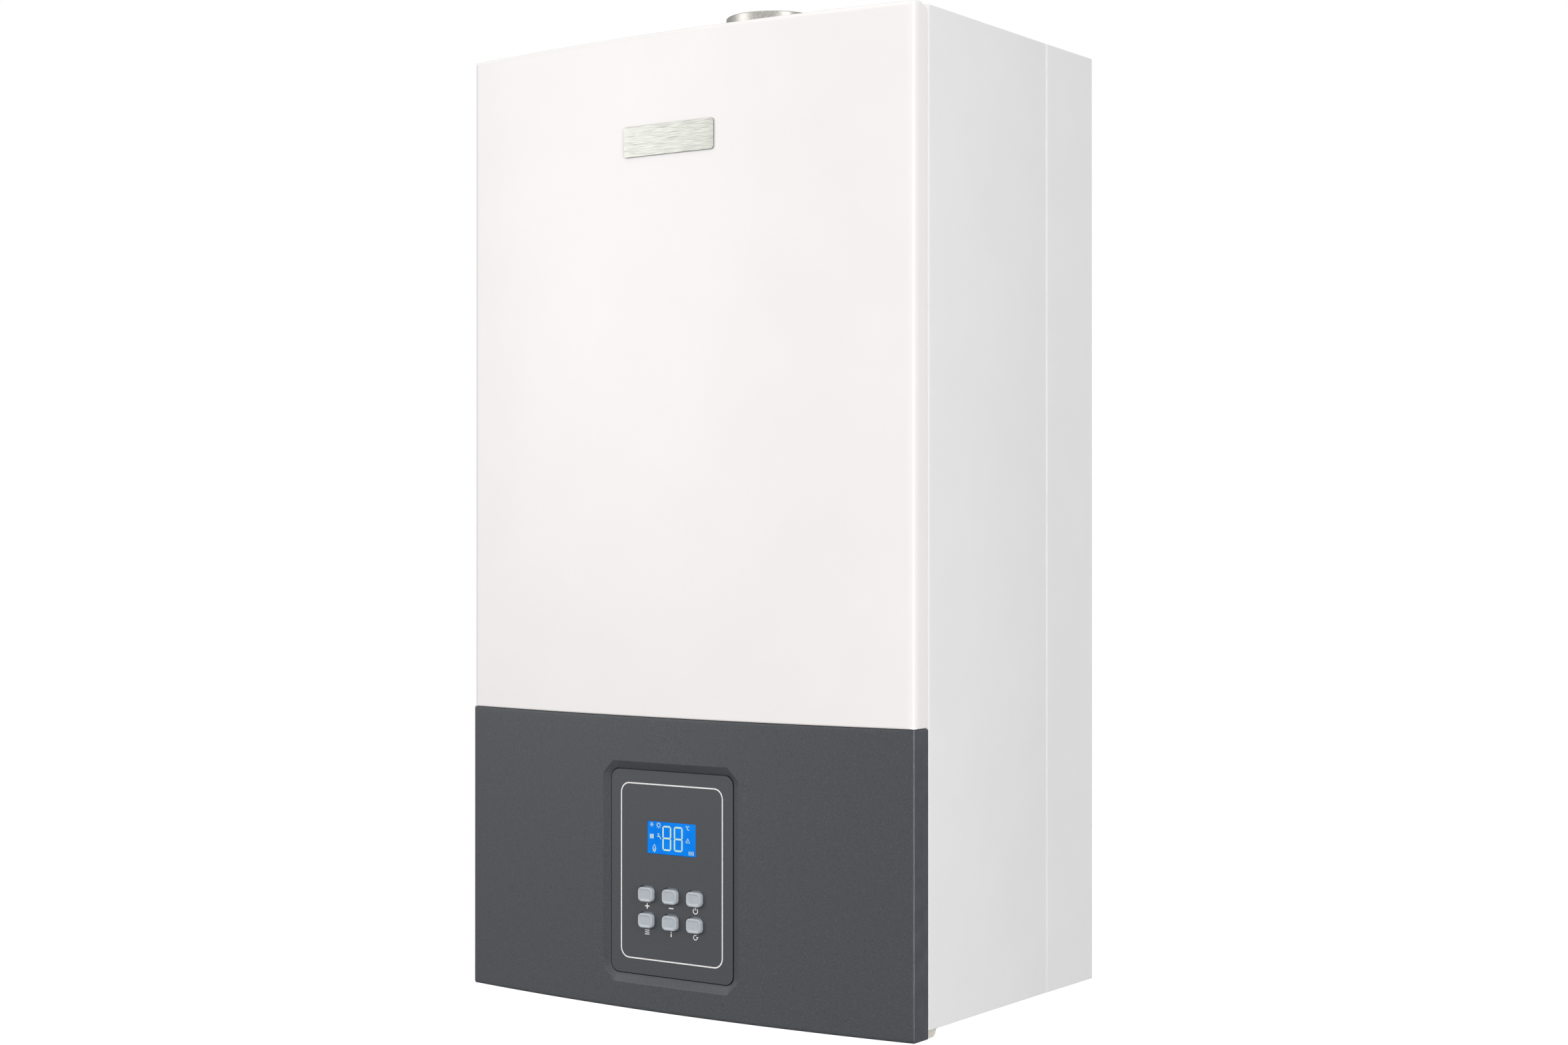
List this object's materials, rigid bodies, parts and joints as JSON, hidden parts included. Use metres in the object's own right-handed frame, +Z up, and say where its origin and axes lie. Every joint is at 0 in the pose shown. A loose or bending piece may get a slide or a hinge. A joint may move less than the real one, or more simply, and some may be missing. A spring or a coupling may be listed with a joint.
{
  "type": "gas boiler",
  "caption": "Wall-hung gas boiler with a bowed front cover, drop-down control panel, sealed combustion chamber with fan, pump and plate heat exchanger.",
  "frame": {"origin": "on the wall face, at mid width and mid height of the casing's side panels", "axes": "+Y into the wall, front towards -Y, +Z up, +X to the viewer's right"},
  "size_m": [0.42, 0.2871, 0.789],
  "materials": {
    "white_enamel": "satin stoved enamel",
    "side_enamel": "satin stoved enamel",
    "graphite_plastic": "moulded, fine speckle",
    "panel_lacquer": "satin lacquered plate",
    "key_plastic": "moulded",
    "display_glass": "lit blue display window",
    "silver_plate": "brushed",
    "galvanised_sheet": "zinc coated",
    "stainless_steel": "satin",
    "copper_pipe": "drawn copper",
    "cast_brass": "turned and cast",
    "cast_aluminium": "die cast",
    "black_plastic": "moulded",
    "board_laminate": "solder mask",
    "beige_nylon": "moulded",
    "ceramic": "glazed",
    "ceramic_fibre": "pressed fibre board",
    "red_enamel": "gloss",
    "blue_plastic": "moulded",
    "sight_glass": "clear"
  },
  "bodies": {
    "casing": {"back_frame": "white_enamel", "side_panel_left": "side_enamel", "side_panel_right": "side_enamel", "top_panel": "side_enamel", "bottom_plate": "galvanised_sheet", "chamber_box": "galvanised_sheet", "chamber_cover": "galvanised_sheet", "flue_hood": "galvanised_sheet", "burner": "stainless_steel", "flue_collar": "stainless_steel", "plate_exchanger": "stainless_steel", "heat_exchanger": "copper_pipe", "flow_pipe": "copper_pipe", "return_pipe": "copper_pipe", "vessel_pipe": "copper_pipe", "gas_pipe": "copper_pipe", "gas_manifold": "cast_brass", "gas_inlet_pipe": "cast_brass", "heating_flow_stub": "cast_brass", "hot_water_stub": "cast_brass", "cold_water_stub": "cast_brass", "heating_return_stub": "cast_brass", "safety_valve": "cast_brass", "fan_housing": "cast_aluminium", "gas_valve": "cast_aluminium", "pump_body": "cast_aluminium", "cable_gland": "black_plastic", "fan_motor": "black_plastic", "air_pressure_switch": "black_plastic", "diverter_motor": "black_plastic", "pump_motor": "black_plastic", "flow_block": "black_plastic", "return_block": "black_plastic", "hinge_bracket_left": "beige_nylon", "hinge_bracket_right": "beige_nylon", "ignition_electrode": "ceramic", "flame_electrode": "ceramic", "combustion_box": "ceramic_fibre", "expansion_vessel": "red_enamel", "sight_glass": "sight_glass"},
    "cover": {"front_cover": "white_enamel", "name_plate": "silver_plate"},
    "control_panel": {"control_fascia": "graphite_plastic", "control_plate": "panel_lacquer", "display_window": "display_glass", "display_module": "black_plastic", "keypad_board": "board_laminate", "control_box": "black_plastic", "main_board": "board_laminate"},
    "key_plus": {"button_plus": "key_plastic"},
    "key_minus": {"button_minus": "key_plastic"},
    "key_power": {"button_power": "key_plastic"},
    "key_mode": {"button_mode": "key_plastic"},
    "key_info": {"button_info": "key_plastic"},
    "key_reset": {"button_reset": "key_plastic"},
    "fan": {"fan_wheel": "galvanised_sheet"},
    "pump": {"pump_impeller": "stainless_steel"},
    "diverter": {"diverter_spindle": "stainless_steel"},
    "relief_knob": {"safety_knob": "red_enamel"},
    "tap_knob": {"filling_knob": "blue_plastic"}
  },
  "joints": [
    {"name": "cover_slide", "type": "slide", "parent": "casing", "child": "cover", "axis": [0, -1, 0], "range_m": [0, 0.3]},
    {"name": "panel_tilt", "type": "hinge", "parent": "casing", "child": "control_panel", "pos_m": [0, -0.247, -0.3705], "axis": [1, 0, 0], "range_deg": [0, 90]},
    {"name": "plus_press", "type": "slide", "parent": "control_panel", "child": "key_plus", "axis": [0, 1, 0], "range_m": [0, 0.0012], "stiffness_N_per_m": 800},
    {"name": "minus_press", "type": "slide", "parent": "control_panel", "child": "key_minus", "axis": [0, 1, 0], "range_m": [0, 0.0012], "stiffness_N_per_m": 800},
    {"name": "power_press", "type": "slide", "parent": "control_panel", "child": "key_power", "axis": [0, 1, 0], "range_m": [0, 0.0012], "stiffness_N_per_m": 800},
    {"name": "mode_press", "type": "slide", "parent": "control_panel", "child": "key_mode", "axis": [0, 1, 0], "range_m": [0, 0.0012], "stiffness_N_per_m": 800},
    {"name": "info_press", "type": "slide", "parent": "control_panel", "child": "key_info", "axis": [0, 1, 0], "range_m": [0, 0.0012], "stiffness_N_per_m": 800},
    {"name": "reset_press", "type": "slide", "parent": "control_panel", "child": "key_reset", "axis": [0, 1, 0], "range_m": [0, 0.0012], "stiffness_N_per_m": 800},
    {"name": "fan_spin", "type": "hinge", "parent": "casing", "child": "fan", "pos_m": [0, -0.148, 0.285], "axis": [0, -1, 0], "continuous": true},
    {"name": "pump_spin", "type": "hinge", "parent": "casing", "child": "pump", "pos_m": [0.13, -0.13, -0.185], "axis": [0, -1, 0], "continuous": true},
    {"name": "diverter_stroke", "type": "slide", "parent": "casing", "child": "diverter", "axis": [0, 1, 0], "range_m": [0, 0.008]},
    {"name": "relief_turn", "type": "hinge", "parent": "casing", "child": "relief_knob", "pos_m": [0.13, -0.19, -0.29], "axis": [0, -1, 0], "range_deg": [0, 90]},
    {"name": "tap_turn", "type": "hinge", "parent": "casing", "child": "tap_knob", "pos_m": [0.065, -0.13, -0.368], "axis": [0, -1, 0], "range_deg": [0, 270]}
  ]
}
